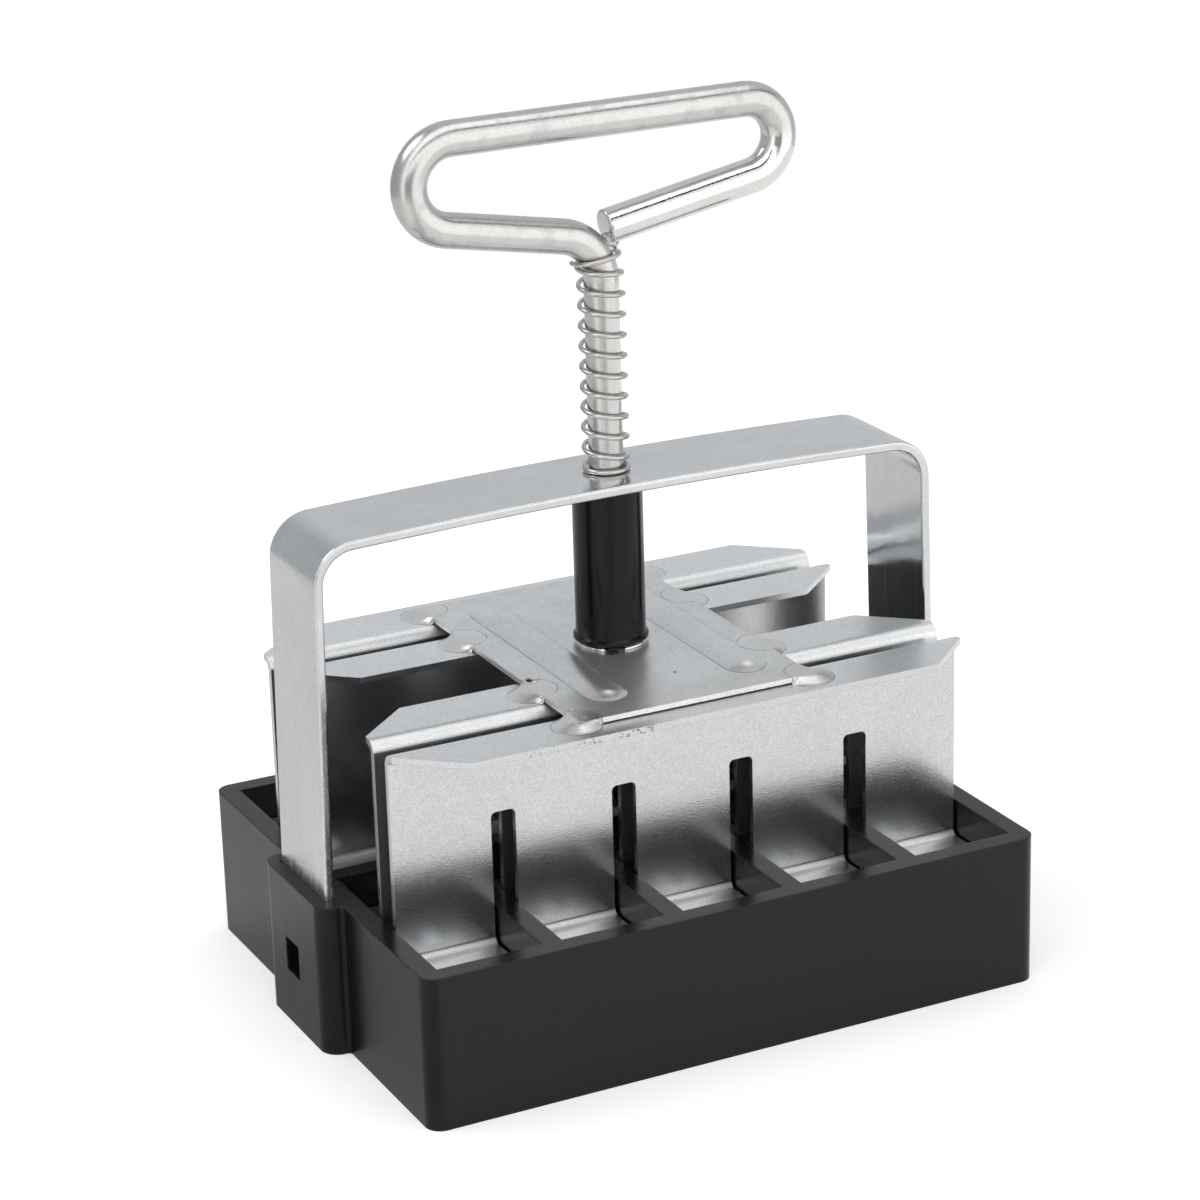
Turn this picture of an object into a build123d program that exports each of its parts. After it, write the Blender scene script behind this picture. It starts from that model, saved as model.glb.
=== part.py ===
from build123d import *
import os
from math import atan2, copysign, cos, exp, pi, radians, sin, sqrt, tan

# Hand-held soil blocker: a moulded box of open cells, and a press with a loop handle that drives
# four bent sheet ejectors through the cells against a spring.
# Millimetres. +X along the five-cell side, +Y to the back, +Z up.
# Origin: centre of the cell box at its open bottom, on the rod's axis.

# ---- driving dimensions --------------------------------------------------------------------
# Cell box
CELL = 20.0                # side of one cell, so of one soil block
COLUMNS = 5                # cells along X
ROW_PAIRS = 2              # pairs of cell rows along Y; one pair shares the wall between them
PARTITION = 3.85           # wall between two cells
RIM = 3.85                 # outer wall
MOULD_H = 28.8             # height of the box
MOULD_CORNER_R = 3.0       # outer upright corners
# Bosses that take the strap's legs
BOSS_WALL = 2.4            # outside the slot
BOSS_CHEEK = 3.3           # beside the slot
BOSS_CORNER_R = 3.5
BOSS_ROOT_R = 0.8          # where the boss runs into the box's side
SLOT_FLOOR = 5.0           # solid plastic under the slot
SLOT_CLEAR = 0.1           # each side of the leg's thickness
SLOT_SIDE_CLEAR = 0.15     # each side of the leg's width
WINDOW_W = 6.0             # window in the boss, along Y
WINDOW_H = 6.6
WINDOW_Z = 13.7            # its middle above the box's bottom
WINDOW_Y = 0.9             # its middle from the boss's middle
CATCH_REACH = 1.6          # catch on the box's wall, into the leg's hole
CATCH_H = 4.6
CATCH_CLEAR = 0.3          # round the catch in the leg's hole
# Strap
STRAP_W = 21.0
STRAP_T = 1.8
STRAP_EDGE_R = 0.5         # rolled edges
STRAP_H = 94.5             # underside at mid span, above the box's bottom
STRAP_CROWN = 1.3          # rise of the top from its shoulders to mid span
STRAP_STRAIGHT = 14.0      # flat run inside each shoulder
SHOULDER_R = 7.0           # centre line of the shoulder bend
LEG_LEAN = 1.3             # how far each leg leans in at its top
KNEE_R = 60.0              # gentle bend where the leg leaves its boss
KNEE_RISE = 1.2            # above the boss
LEG_FLOOR_GAP = 0.2        # under the leg's end
# Press
FEET_Z = 20.7              # underside of the feet at rest: the depth of a soil block
FEET_STOP = 2.9            # underside of the feet at the end of the stroke
STOP_CLEAR = 0.2           # between slot tops and partitions at the end of the stroke
STOP_GAP = 0.1             # between sleeve and strap at rest
BAR_D = 6.4                # round bar of rod and handle
ROD_CLEAR = 0.25           # round the rod in the strap's hole
BEND_RISE = 43.0           # corner of rod and loop above the strap's top
BEND_R = 9.0
LOOP_SLOPE = 10.5          # degrees, fall of the two lower bars towards the rod
LOOP_HALF = 36.5           # loop's end from the rod's axis, on the centre line
LOOP_R_LEFT = 8.1
LOOP_R_RIGHT = 7.15        # tighter, so that the bar's cut end lies on the bend
LOOP_GAP = 0.1             # between the cut end and the bend
BAR_END_ROUND = 0.5        # sheared edge of the cut end
HANDLE_WELD_R = 1.5
HANDLE_WELD_L = 3.4
HANDLE_WELD_RISE = 0.4     # weld's middle above the cut end's lowest point
# Sleeve and weld under it
SLEEVE_D = 13.0
SLEEVE_CLEAR = 0.1         # round the rod
SLEEVE_LIP_D = 14.0
SLEEVE_LIP_H = 0.9
SLEEVE_FLARE_H = 0.4
SLEEVE_EDGE = 0.3
ROD_WELD_D = 13.4
ROD_WELD_H = 0.8
WELD_FIT = 0.05            # round the rod in the plate's hole and in its weld
# Ejectors
SHEET = 1.2
FOLD_R = 1.4               # inside radius of both folds
EJECTOR_H = 41.3           # feet's underside to flange's top
WALL_GAP = 0.5             # ejector wall to the partition behind it
CELL_CLEAR = 0.45          # foot to the cell's other walls, and slot to partition
FLANGE_W = 12.7            # from the wall's back
FLANGE_CUT_X = 10.6        # bevelled flange corners
FLANGE_CUT_Y = 9.5
SLOT_CORNER_R = 1.0
FOOT_CORNER_R = 1.0
DIMPLE_R = 4.0             # seed dimple at the foot's underside
DIMPLE_H = 2.5
# Carrier plate and its spot welds
PLATE_T = 1.2
PLATE_L = 46.8             # along X
PLATE_EDGE_STEP = 4.9      # outer flanges' edge beyond the plate's edge, along Y
PLATE_CORNER_R = 1.0
PLATE_EDGE_BREAK = 0.25    # bevel round the underside
BEAD_INSETS = (10.1, 8.6)  # pressed beads' middles from the plate's left and right ends
BEAD_W = 8.0
BEAD_L = 56.0
BEAD_H = 0.8
SPOT_D = 9.5
SPOT_CROWN = 0.15          # weld metal above the plate
SPOT_RIM = 0.3             # weld metal at its outer rim, above the flange
# Spring
WIRE_D = 0.9
WIRE_CLEAR = 0.33          # between the turns and the rod
SPRING_SEAT = 0.05         # under the first turn
SPRING_TOP_GAP = 0.2       # between the last turn and the handle's bend
SPRING_START = 15.0        # degrees from +X, where the wire starts
SPRING_TURNS = 11.55
END_TURN = 0.4             # part of the first turn that lies flat
END_BLEND = 0.4            # part over which the pitch then sets in
TOP_BLEND = 1.0            # last turns, over which the pitch dies out
TOP_LEAN = 1.15            # last turn's tilt against the bend, at the mean radius
TOP_SHIFT = 1.2            # last turn's shift with the bend
TOP_FADE = 0.9             # turns over which tilt and shift die away

# ---- derived places ------------------------------------------------------------------------
ROWS = 2 * ROW_PAIRS
PITCH = CELL + PARTITION
MOULD_L = COLUMNS * CELL + (COLUMNS - 1) * PARTITION + 2 * RIM
MOULD_W = ROWS * CELL + (ROWS - 1) * PARTITION + 2 * RIM
SLOT_IN = MOULD_L / 2
LEG_X = SLOT_IN + SLOT_CLEAR + STRAP_T / 2
SLOT_OUT = LEG_X + STRAP_T / 2 + SLOT_CLEAR
BOSS_X = SLOT_OUT + BOSS_WALL
SLOT_HALF = STRAP_W / 2 + SLOT_SIDE_CLEAR
BOSS_HALF = SLOT_HALF + BOSS_CHEEK
LEG_END = SLOT_FLOOR + LEG_FLOOR_GAP
STRAP_TOP = STRAP_H + STRAP_T
STROKE = FEET_Z - FEET_STOP
FLANGE_TOP = FEET_Z + EJECTOR_H
PLATE_TOP = FLANGE_TOP + PLATE_T
EJECTOR_L = COLUMNS * CELL + (COLUMNS - 1) * PARTITION - 2 * CELL_CLEAR
SLOT_TOP = MOULD_H + STROKE + STOP_CLEAR
FOOT_REACH = CELL - WALL_GAP - CELL_CLEAR
OUTER_WALL = (ROWS / 2 - 1) * PITCH + PARTITION / 2 + WALL_GAP
PLATE_W = 2 * (OUTER_WALL + FLANGE_W - PLATE_EDGE_STEP)
BEAD_X = [side * (PLATE_L / 2 - inset) for side, inset in zip((-1, 1), BEAD_INSETS)]
BEAD_CROWN_R = (BEAD_W**2 / 4 + BEAD_H**2) / (2 * BEAD_H)
SLEEVE_FOOT = PLATE_TOP + ROD_WELD_H
SLEEVE_TOP = STRAP_H - STOP_GAP
BAR_R = BAR_D / 2
SLOPE = radians(LOOP_SLOPE)
BEND_Z = STRAP_TOP + BEND_RISE
BEND_FOOT = BEND_Z - BEND_R * tan(pi / 4 - SLOPE / 2)
SPRING_R = BAR_R + WIRE_CLEAR + WIRE_D / 2
SPRING_BASE = STRAP_TOP + SPRING_SEAT + WIRE_D / 2
COLUMN_X = [(i - (COLUMNS - 1) / 2) * PITCH for i in range(COLUMNS)]
ROW_Y = [(i - (ROWS - 1) / 2) * PITCH for i in range(ROWS)]
PARTITION_X = [(i - COLUMNS / 2) * PITCH for i in range(1, COLUMNS)]
SIDES = (-1, 1)


def polygon(points):
    """Flat face from a list of corners."""
    return make_face(Polyline(*points, close=True).edges())


def turned(profile):
    """Solid of revolution about Z from a list of (radius, height) corners."""
    return revolve(Plane.XZ * polygon(profile), Axis.Z)


# ---- cell box ------------------------------------------------------------------------------
def boss_outline(side):
    """Plan of one boss, from inside the box's wall to its rounded outer corners."""
    root = MOULD_L / 2 - RIM / 2
    corners = [
        (side * root, -BOSS_HALF),
        (side * BOSS_X, -BOSS_HALF),
        (side * BOSS_X, BOSS_HALF),
        (side * root, BOSS_HALF),
    ]
    radii = [0, BOSS_CORNER_R, BOSS_CORNER_R, 0]
    return make_face(FilletPolyline(*corners, radius=radii, close=True).edges())


def mould_outline():
    """Plan of the box with its bosses, without the cells."""
    plan = RectangleRounded(MOULD_L, MOULD_W, MOULD_CORNER_R)
    for side in SIDES:
        plan += boss_outline(side)
    roots = plan.vertices().filter_by(lambda v: abs(abs(v.X) - MOULD_L / 2) < 0.01)
    roots = roots.filter_by(lambda v: abs(abs(v.Y) - BOSS_HALF) < 0.01)
    return fillet(roots, BOSS_ROOT_R)


def catch(side):
    """Ramp on the box's wall that snaps into the leg's hole: sloped above, square below."""
    low = WINDOW_Z - CATCH_H / 2
    profile = polygon(
        [
            (side * (SLOT_IN - RIM / 2), low),
            (side * (SLOT_IN + CATCH_REACH), low),
            (side * (SLOT_IN + CATCH_REACH), low + CATCH_H / 3),
            (side * SLOT_IN, low + CATCH_H),
            (side * (SLOT_IN - RIM / 2), low + CATCH_H),
        ]
    )
    depth = WINDOW_W / 2 - CATCH_CLEAR
    return Pos(0, WINDOW_Y, 0) * extrude(Plane.XZ * profile, depth, both=True)


def make_mould():
    """Box with its through cells, strap slots, windows and catches."""
    plan = mould_outline()
    for x in COLUMN_X:
        for y in ROW_Y:
            plan -= Pos(x, y) * Rectangle(CELL, CELL)
    box = extrude(plan, MOULD_H)
    slot_depth = MOULD_H - SLOT_FLOOR
    slot = Box(SLOT_OUT - SLOT_IN, 2 * SLOT_HALF, 2 * slot_depth)
    window = Box(2 * BOSS_WALL, WINDOW_W, WINDOW_H)
    for side in SIDES:
        box -= Pos(side * (SLOT_IN + SLOT_OUT) / 2, 0, MOULD_H) * slot
        box -= Pos(side * (BOSS_X - BOSS_WALL / 2 + SLOT_CLEAR), WINDOW_Y, WINDOW_Z) * window
        box += catch(side)
    return box


# ---- strap ---------------------------------------------------------------------------------
def strap_path():
    """Centre line of the strap: legs that lean in a little, round shoulders, crowned top."""
    shoulder_x = LEG_X - LEG_LEAN
    arc_half = shoulder_x - STRAP_STRAIGHT
    slope = atan2(STRAP_CROWN, arc_half / 2 + STRAP_STRAIGHT)
    crown_r = arc_half / sin(slope)
    apex_z = STRAP_H + STRAP_T / 2 + crown_r * (1 / cos(slope) - 1)
    shoulder_z = apex_z - shoulder_x * tan(slope)
    half = [
        (LEG_X, 0, LEG_END),
        (LEG_X, 0, MOULD_H + KNEE_RISE),
        (shoulder_x, 0, shoulder_z),
    ]
    left = [(-x, y, z) for x, y, z in reversed(half)]
    radii = [KNEE_R, SHOULDER_R, crown_r, SHOULDER_R, KNEE_R]
    return FilletPolyline(*half, (0, 0, apex_z), *left, radius=radii)


def make_strap():
    """Bent strip with the rod's hole on top and a square hole for the catch in each leg."""
    start = Plane(origin=(LEG_X, 0, LEG_END), x_dir=(0, 1, 0), z_dir=(0, 0, 1))
    section = start * RectangleRounded(STRAP_W, STRAP_T, STRAP_EDGE_R)
    strip = sweep(section, path=strap_path())
    strip -= Pos(0, 0, STRAP_H) * Cylinder(BAR_R + ROD_CLEAR, 4 * STRAP_T)
    hole_h = CATCH_H + 2 * CATCH_CLEAR
    for side in SIDES:
        strip -= Pos(side * LEG_X, WINDOW_Y, WINDOW_Z) * Box(2 * STRAP_T, WINDOW_W, hole_h)
    return strip


# ---- press handle --------------------------------------------------------------------------
def loop_end(start):
    """Length of the falling bar: its cut end's lowest point stops short of the bend."""
    corner = Vector(start.X + BAR_R * sin(SLOPE), start.Y - BAR_R * cos(SLOPE))
    away = corner - Vector(-BEND_R, BEND_FOOT)
    along = away.dot(Vector(cos(SLOPE), sin(SLOPE)))
    reach = BEND_R + BAR_R + LOOP_GAP
    return along - sqrt(along**2 - away.dot(away) + reach**2)


def handle_path():
    """Rod, bend, left end, top bar, right end and the bar that falls back to the bend."""
    turn = 180 - LOOP_SLOPE
    left_x = LOOP_R_LEFT - LOOP_HALF - LOOP_R_LEFT * sin(SLOPE)
    rod = Line((0, FLANGE_TOP), (0, BEND_FOOT))
    bend = JernArc(rod @ 1, rod % 1, BEND_R, 90 - LOOP_SLOPE)
    rising = Line(bend @ 1, (left_x, BEND_Z - left_x * tan(SLOPE)))
    left = JernArc(rising @ 1, rising % 1, LOOP_R_LEFT, -turn)
    top = Line(left @ 1, (LOOP_HALF - LOOP_R_RIGHT, (left @ 1).Y))
    right = JernArc(top @ 1, top % 1, LOOP_R_RIGHT, -turn)
    falling = PolarLine(right @ 1, loop_end(right @ 1), direction=right % 1)
    return Plane.XZ * Wire([rod, bend, rising, left, top, right, falling])


def make_press_handle():
    """One round bar, bent."""
    path = handle_path()
    section = Plane(origin=path @ 0, z_dir=path % 0) * Circle(BAR_R)
    bar = sweep(section, path=path)
    cut_end = bar.faces().filter_by(GeomType.PLANE).sort_by_distance(path @ 1)[0]
    return fillet(cut_end.edges(), BAR_END_ROUND)


def make_handle_weld(handle):
    """Tack weld in the notch between the bar's cut end and the bend."""
    end = handle_path() @ 1
    down = BAR_R - HANDLE_WELD_RISE
    middle = Pos(end.X + down * sin(SLOPE), 0, end.Z - down * cos(SLOPE))
    bead = Rot(90, 0, 0) * Cylinder(HANDLE_WELD_R, HANDLE_WELD_L)
    bead = fillet(bead.edges().filter_by(GeomType.CIRCLE), HANDLE_WELD_R / 2)
    return middle * bead - handle


# ---- sleeve and the weld under it ----------------------------------------------------------
def make_stop_sleeve():
    """Plastic tube on the rod; its foot flares over the weld, its top meets the strap."""
    bore = BAR_R + SLEEVE_CLEAR
    body_r = SLEEVE_D / 2
    lip_r = SLEEVE_LIP_D / 2
    return turned(
        [
            (bore, SLEEVE_FOOT),
            (lip_r - SLEEVE_EDGE, SLEEVE_FOOT),
            (lip_r, SLEEVE_FOOT + SLEEVE_EDGE),
            (lip_r, SLEEVE_FOOT + SLEEVE_LIP_H),
            (body_r, SLEEVE_FOOT + SLEEVE_LIP_H + SLEEVE_FLARE_H),
            (body_r, SLEEVE_TOP - SLEEVE_EDGE),
            (body_r - SLEEVE_EDGE, SLEEVE_TOP),
            (bore, SLEEVE_TOP),
        ]
    )


def make_rod_weld():
    """Ring of weld that joins the rod to the carrier plate and carries the sleeve's foot."""
    bore = BAR_R + WELD_FIT
    edge = ROD_WELD_D / 2
    return turned(
        [
            (bore, PLATE_TOP),
            (edge, PLATE_TOP),
            (edge - ROD_WELD_H / 3, PLATE_TOP + ROD_WELD_H * 2 / 3),
            (edge - ROD_WELD_H, PLATE_TOP + ROD_WELD_H),
            (bore, PLATE_TOP + ROD_WELD_H),
        ]
    )


# ---- carrier plate and spot welds ----------------------------------------------------------
def bead_form(radius):
    """Round-ended bar along Y whose top, where it rises from the plate, shapes the bead."""
    half = (BEAD_L - BEAD_W) / 2
    form = Rot(90, 0, 0) * Cylinder(radius, 2 * half)
    for side in SIDES:
        form += Pos(0, side * half, 0) * Sphere(radius)
    return form


def make_carrier_plate():
    """Sheet with two pressed beads and the rod's hole; its lower edge is broken all round."""
    plate = extrude(RectangleRounded(PLATE_L, PLATE_W, PLATE_CORNER_R), PLATE_T)
    plate = chamfer(plate.faces().sort_by(Axis.Z)[0].edges(), PLATE_EDGE_BREAK)
    above = Pos(0, 0, BEAD_CROWN_R) * Box(PLATE_L, PLATE_W, 2 * BEAD_CROWN_R)
    sink = PLATE_T + BEAD_H - BEAD_CROWN_R
    for x in BEAD_X:
        plate += Pos(x, 0, sink) * bead_form(BEAD_CROWN_R) & above
        plate -= Pos(x, 0, sink) * bead_form(BEAD_CROWN_R - PLATE_T)
    plate -= Cylinder(BAR_R + WELD_FIT, 4 * PLATE_T)
    return Pos(0, 0, FLANGE_TOP) * plate


def weld_roof(edge, width):
    """Block along +X whose top is level to the plate's edge and then falls to the rim."""
    top = PLATE_T + SPOT_CROWN
    rim = edge + SPOT_D / 2
    profile = polygon([(0, 0), (rim, 0), (rim, SPOT_RIM), (edge, top), (0, top)])
    return extrude(Plane.XZ * profile, width, both=True)


def make_spot_welds(row, plate):
    """Two round welds of one ejector: thin caps on the plate that run down to the flange."""
    flange_y = FLANGE_MIDDLE[row]
    spot = Pos(PLATE_L / 2, flange_y) * Cylinder(SPOT_D / 2, 4 * PLATE_T)
    spot &= weld_roof(PLATE_L / 2, PLATE_W)
    if row in (0, ROWS - 1):
        spot &= Rot(0, 0, copysign(90, flange_y)) * weld_roof(PLATE_W / 2, PLATE_L)
    right = Pos(0, 0, FLANGE_TOP) * spot
    caps = [right - plate, mirror(right, about=Plane.YZ) - plate]
    return Compound(children=[cap.solids().sort_by(SortBy.VOLUME)[-1] for cap in caps])


# ---- ejectors ------------------------------------------------------------------------------
def ejector_section():
    """Bent sheet seen from the end: foot, wall and flange, with y = 0 at the wall's back."""
    low = FEET_Z
    high = FLANGE_TOP
    corners = [
        (0, low),
        (FOOT_REACH, low),
        (FOOT_REACH, low + SHEET),
        (SHEET, low + SHEET),
        (SHEET, high - SHEET),
        (FLANGE_W, high - SHEET),
        (FLANGE_W, high),
        (0, high),
    ]
    outer = FOLD_R + SHEET
    radii = [outer, 0, 0, FOLD_R, FOLD_R, 0, 0, outer]
    return Plane.YZ * make_face(FilletPolyline(*corners, radius=radii, close=True).edges())


def flange_bevel(side):
    """Block that bevels one corner of the flange."""
    end = side * EJECTOR_L / 2
    past = end + side
    tip = side * (EJECTOR_L / 2 - FLANGE_CUT_X)
    plan = polygon(
        [
            (end, FLANGE_W - FLANGE_CUT_Y),
            (past, FLANGE_W - FLANGE_CUT_Y),
            (past, FLANGE_W + 1),
            (tip, FLANGE_W + 1),
            (tip, FLANGE_W),
        ]
    )
    return Pos(0, 0, FLANGE_TOP) * extrude(plan, 1.5 * SHEET, both=True)


def seed_dimple():
    """Ball that presses the dimple, its hollow and its place over the foot's underside."""
    ball_r = (DIMPLE_R**2 + DIMPLE_H**2) / (2 * DIMPLE_H)
    centre = Pos(0, CELL / 2 - WALL_GAP, FEET_Z + ball_r - DIMPLE_H)
    keep = Pos(0, CELL / 2 - WALL_GAP, FEET_Z - DIMPLE_H) * Box(CELL, CELL, 2 * (DIMPLE_H + SHEET / 2))
    return centre * Sphere(ball_r) & keep, centre * Sphere(ball_r - SHEET)


def make_ejector():
    """Bent sheet channel: bevelled flange, slotted wall, separate feet with seed dimples."""
    body = extrude(ejector_section(), EJECTOR_L / 2, both=True)
    slot_low = FEET_Z - 2 * SHEET
    slot_h = SLOT_TOP - slot_low
    slot_w = PARTITION + 2 * CELL_CLEAR
    slot_plan = Plane.XZ * RectangleRounded(slot_w, slot_h, SLOT_CORNER_R)
    slot = extrude(slot_plan, 2 * CELL, both=True)
    for x in PARTITION_X:
        body -= Pos(x, 0, slot_low + slot_h / 2) * slot
    for side in SIDES:
        body -= flange_bevel(side)
    foot_corners = body.edges().filter_by(Axis.Z).filter_by(lambda e: e.center().Z < FEET_Z + SHEET)
    foot_corners = foot_corners.filter_by(lambda e: abs(e.center().Y - FOOT_REACH) < 0.01)
    body = fillet(foot_corners, FOOT_CORNER_R)
    bump, dent = seed_dimple()
    for x in COLUMN_X:
        body += Pos(x, 0, 0) * bump
    for x in COLUMN_X:
        body -= Pos(x, 0, 0) * dent
    return body


def ejector_place(row):
    """Where one ejector stands: even rows turn their feet to the front, odd rows to the back."""
    forward = row % 2 == 0
    partition_y = ROW_Y[row] + (PITCH / 2 if forward else -PITCH / 2)
    offset = PARTITION / 2 + WALL_GAP
    if forward:
        return Pos(0, partition_y - offset, 0) * Rot(0, 0, 180)
    return Pos(0, partition_y + offset, 0)


FLANGE_MIDDLE = [(ejector_place(row) * Pos(0, FLANGE_W / 2, 0)).position.Y for row in range(ROWS)]


# ---- spring --------------------------------------------------------------------------------
def spring_rise(turns):
    """Rise in pitches: none while the wire lies flat, steady, and none again at the last turn."""
    setting_in = min(max(turns - END_TURN, 0), END_BLEND)
    steady = max(turns - END_TURN - END_BLEND, 0)
    dying = max(turns - SPRING_TURNS + TOP_BLEND, 0)
    return setting_in**2 / (2 * END_BLEND) + steady - dying**2 / (2 * TOP_BLEND)


def spring_pitch():
    """Pitch that brings the last turn's left side up against the underside of the bend."""
    seat = BEND_R - BAR_R - SPRING_TOP_GAP - WIRE_D / 2
    inward = BEND_R - SPRING_R - TOP_SHIFT
    end_z = BEND_FOOT + sqrt(seat**2 - inward**2)
    return (end_z + TOP_LEAN - SPRING_BASE) / spring_rise(SPRING_TURNS)


def spring_point(turns):
    """Point of the wire's centre line; the last turns lean and shift with the handle's bend."""
    angle = radians(SPRING_START) - 2 * pi * turns
    fade = exp((turns - SPRING_TURNS) / TOP_FADE)
    x = SPRING_R * cos(angle) - TOP_SHIFT * fade
    y = SPRING_R * sin(angle)
    z = SPRING_BASE + spring_pitch() * spring_rise(turns) + TOP_LEAN * fade * cos(angle)
    return Vector(x, y, z)


def spring_tangent(turns):
    """Unit direction of the wire, by central difference."""
    step = 1e-4
    return (spring_point(turns + step) - spring_point(turns - step)).normalized()


def biarc(start, start_dir, end, end_dir):
    """Two arcs that leave start along start_dir and reach end along end_dir."""
    chord = end - start
    bent = 1 - start_dir.dot(end_dir)
    along = chord.dot(start_dir + end_dir)
    reach = (sqrt(along**2 + 2 * bent * chord.dot(chord)) - along) / (2 * bent)
    knee = start + start_dir * reach
    other_knee = end - end_dir * reach
    middle = (knee + other_knee) / 2
    first = TangentArc(start, middle, tangent=start_dir)
    second = TangentArc(middle, end, tangent=other_knee - knee)
    return [first, second]


def spring_path():
    """Wire's centre line: quarter-turn biarcs with a straight run of one wire at each end."""
    steps = round(SPRING_TURNS * 4)
    stops = [SPRING_TURNS * i / steps for i in range(steps + 1)]
    points = [spring_point(t) for t in stops]
    tangents = [spring_tangent(t) for t in stops]
    edges = [Line(points[0] - tangents[0] * WIRE_D, points[0])]
    for i in range(steps):
        edges += biarc(points[i], tangents[i], points[i + 1], tangents[i + 1])
    edges.append(Line(points[-1], points[-1] + tangents[-1] * WIRE_D))
    return Wire(edges)


def spring_least_gap():
    """Least distance between the wire's surfaces half a turn or more apart, from points."""
    samples = 48
    count = int(SPRING_TURNS * samples)
    points = [spring_point(i / samples) for i in range(count + 1)]
    least = 1e9
    for i, point in enumerate(points):
        for other in points[i + samples // 2 :]:
            least = min(least, (other - point).length)
    return least - WIRE_D


def make_spring():
    """Round wire wound round the rod."""
    path = spring_path()
    section = Plane(origin=path @ 0, z_dir=path % 0) * Circle(WIRE_D / 2)
    return sweep(section, path=path)


# ---- build ---------------------------------------------------------------------------------
def build_all():
    """Every sub-part in its place at rest, by name."""
    handle = make_press_handle()
    plate = make_carrier_plate()
    parts = {
        "mould": make_mould(),
        "strap": make_strap(),
        "press_handle": handle,
        "handle_weld": make_handle_weld(handle),
        "spring": make_spring(),
        "stop_sleeve": make_stop_sleeve(),
        "rod_weld": make_rod_weld(),
        "carrier_plate": plate,
    }
    ejector = make_ejector()
    for row in range(ROWS):
        parts[f"ejector_{row + 1}"] = ejector_place(row) * ejector
        parts[f"spot_welds_{row + 1}"] = make_spot_welds(row, plate)
    return parts


os.makedirs("parts", exist_ok=True)
for name, shape in build_all().items():
    shape.label = name
    export_step(shape, f"parts/{name}.step")
print("spring: least gap to itself", round(spring_least_gap(), 2), "mm")
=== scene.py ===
"""Soil blocker: finishes, weld detail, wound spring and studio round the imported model."""

import math

import bpy
from mathutils import Matrix, Vector, noise


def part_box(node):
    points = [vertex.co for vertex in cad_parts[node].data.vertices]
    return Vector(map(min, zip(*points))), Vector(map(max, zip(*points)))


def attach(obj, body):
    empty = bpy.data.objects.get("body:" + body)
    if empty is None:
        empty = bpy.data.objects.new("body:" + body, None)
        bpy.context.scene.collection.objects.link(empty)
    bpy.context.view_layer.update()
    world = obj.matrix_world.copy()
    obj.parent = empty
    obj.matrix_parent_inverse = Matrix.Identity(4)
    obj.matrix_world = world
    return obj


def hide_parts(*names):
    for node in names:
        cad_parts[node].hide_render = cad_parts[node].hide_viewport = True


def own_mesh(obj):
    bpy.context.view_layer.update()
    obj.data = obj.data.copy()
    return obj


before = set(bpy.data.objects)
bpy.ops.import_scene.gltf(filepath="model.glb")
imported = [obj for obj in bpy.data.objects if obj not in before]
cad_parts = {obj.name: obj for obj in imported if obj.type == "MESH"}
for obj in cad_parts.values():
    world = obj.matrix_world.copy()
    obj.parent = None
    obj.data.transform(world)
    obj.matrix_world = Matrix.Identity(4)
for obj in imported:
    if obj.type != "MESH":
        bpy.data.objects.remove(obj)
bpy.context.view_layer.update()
MM = 0.001

# ---- camera, fitted to the photograph ------------------------------------------------------
CAMERA_AT = Vector((-0.27997, -0.56526, 0.29723))
CAMERA_AZIMUTH = math.radians(-26.181)
CAMERA_ELEVATION = math.radians(19.725)
CAMERA_ROLL = math.radians(-1.67)
CAMERA_FOCAL = 3641.7
FRAME_PIXELS = 1200
SENSOR = 36.0

# ---- sizes shared with the CAD, in metres --------------------------------------------------
PLATE_TOP = 63.2 * MM
PLATE_HALF_L = 23.4 * MM
PLATE_HALF_W = 34.075 * MM
PLATE_T = 1.2 * MM
FLANGE_TOP = 62.0 * MM
SPOT_R = 4.75 * MM
SPOT_Y = (-32.625 * MM, -15.075 * MM, 15.075 * MM, 32.625 * MM)
BAR_R = 3.2 * MM
WELD_BORE = 3.25 * MM
WELD_EDGE = 6.7 * MM
WELD_H = 0.8 * MM
BEAD_X = (-13.3 * MM, 14.8 * MM)
BEAD_END = 24.0 * MM
BEAD_HALF_W = 4.0 * MM
SHEAR_TILT = 0.2
BURNT_AT = (-22.4 * MM, -11.6 * MM, PLATE_TOP)
BEND_R = 9.0 * MM
BEND_FOOT = 131.81 * MM

# ---- spring, from the same formula as its CAD solid ----------------------------------------
WIRE_D = 0.9 * MM
SPRING_R = 3.98 * MM
SPRING_BASE = 96.8 * MM
SPRING_TOP_GAP = 0.2 * MM
SPRING_START = math.radians(15)
SPRING_TURNS = 11.55
END_TURN = 0.4
END_BLEND = 0.4
TOP_BLEND = 1.0
TOP_LEAN = 1.15 * MM
TOP_SHIFT = 1.2 * MM
TOP_FADE = 0.9
SPRING_STEPS = 56
WIRE_SIDES = 14


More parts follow.
